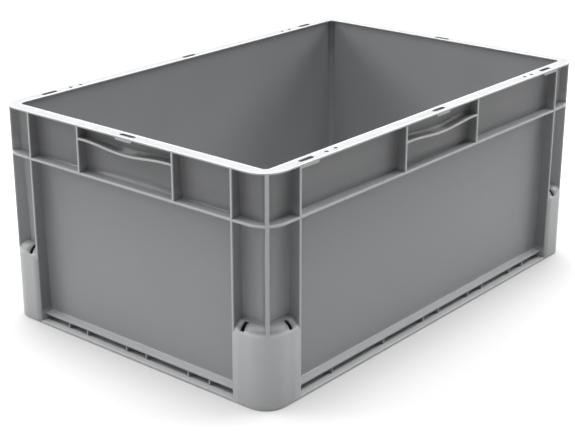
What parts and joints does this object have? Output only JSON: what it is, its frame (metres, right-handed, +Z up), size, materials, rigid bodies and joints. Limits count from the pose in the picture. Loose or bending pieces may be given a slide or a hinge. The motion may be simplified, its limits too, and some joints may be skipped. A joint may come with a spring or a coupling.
{
  "type": "stacking storage container",
  "caption": "Open rigid plastic stacking container with a flat slotted rim, ribbed corners, a horizontal stiffening rib, shell grips, hollow corner feet and a double base.",
  "frame": {"origin": "middle of the flat underside, on the surface the container stands on", "axes": "+X along the long sides, +Y towards the back long side, +Z up through the open top"},
  "size_m": [0.6, 0.4, 0.257],
  "materials": {
    "moulded_plastic": "fine satin, moulded grey polypropylene"
  },
  "bodies": {
    "root": {"rim_front": "moulded_plastic", "wall_front": "moulded_plastic", "belt_rib_front": "moulded_plastic", "grip_rib_front_1": "moulded_plastic", "grip_rib_front_2": "moulded_plastic", "grip_bar_front": "moulded_plastic", "base_rail_front": "moulded_plastic", "rim_back": "moulded_plastic", "wall_back": "moulded_plastic", "belt_rib_back": "moulded_plastic", "grip_rib_back_1": "moulded_plastic", "grip_rib_back_2": "moulded_plastic", "grip_bar_back": "moulded_plastic", "base_rail_back": "moulded_plastic", "rim_left": "moulded_plastic", "wall_left": "moulded_plastic", "belt_rib_left": "moulded_plastic", "grip_rib_left_1": "moulded_plastic", "grip_rib_left_2": "moulded_plastic", "grip_bar_left": "moulded_plastic", "base_rail_left": "moulded_plastic", "rim_right": "moulded_plastic", "wall_right": "moulded_plastic", "belt_rib_right": "moulded_plastic", "grip_rib_right_1": "moulded_plastic", "grip_rib_right_2": "moulded_plastic", "grip_bar_right": "moulded_plastic", "base_rail_right": "moulded_plastic", "corner_post_front_left": "moulded_plastic", "foot_front_left": "moulded_plastic", "corner_post_front_right": "moulded_plastic", "foot_front_right": "moulded_plastic", "corner_post_back_left": "moulded_plastic", "foot_back_left": "moulded_plastic", "corner_post_back_right": "moulded_plastic", "foot_back_right": "moulded_plastic", "floor_panel": "moulded_plastic", "underfloor_ribs": "moulded_plastic", "base_plate": "moulded_plastic"}
  },
  "joints": []
}
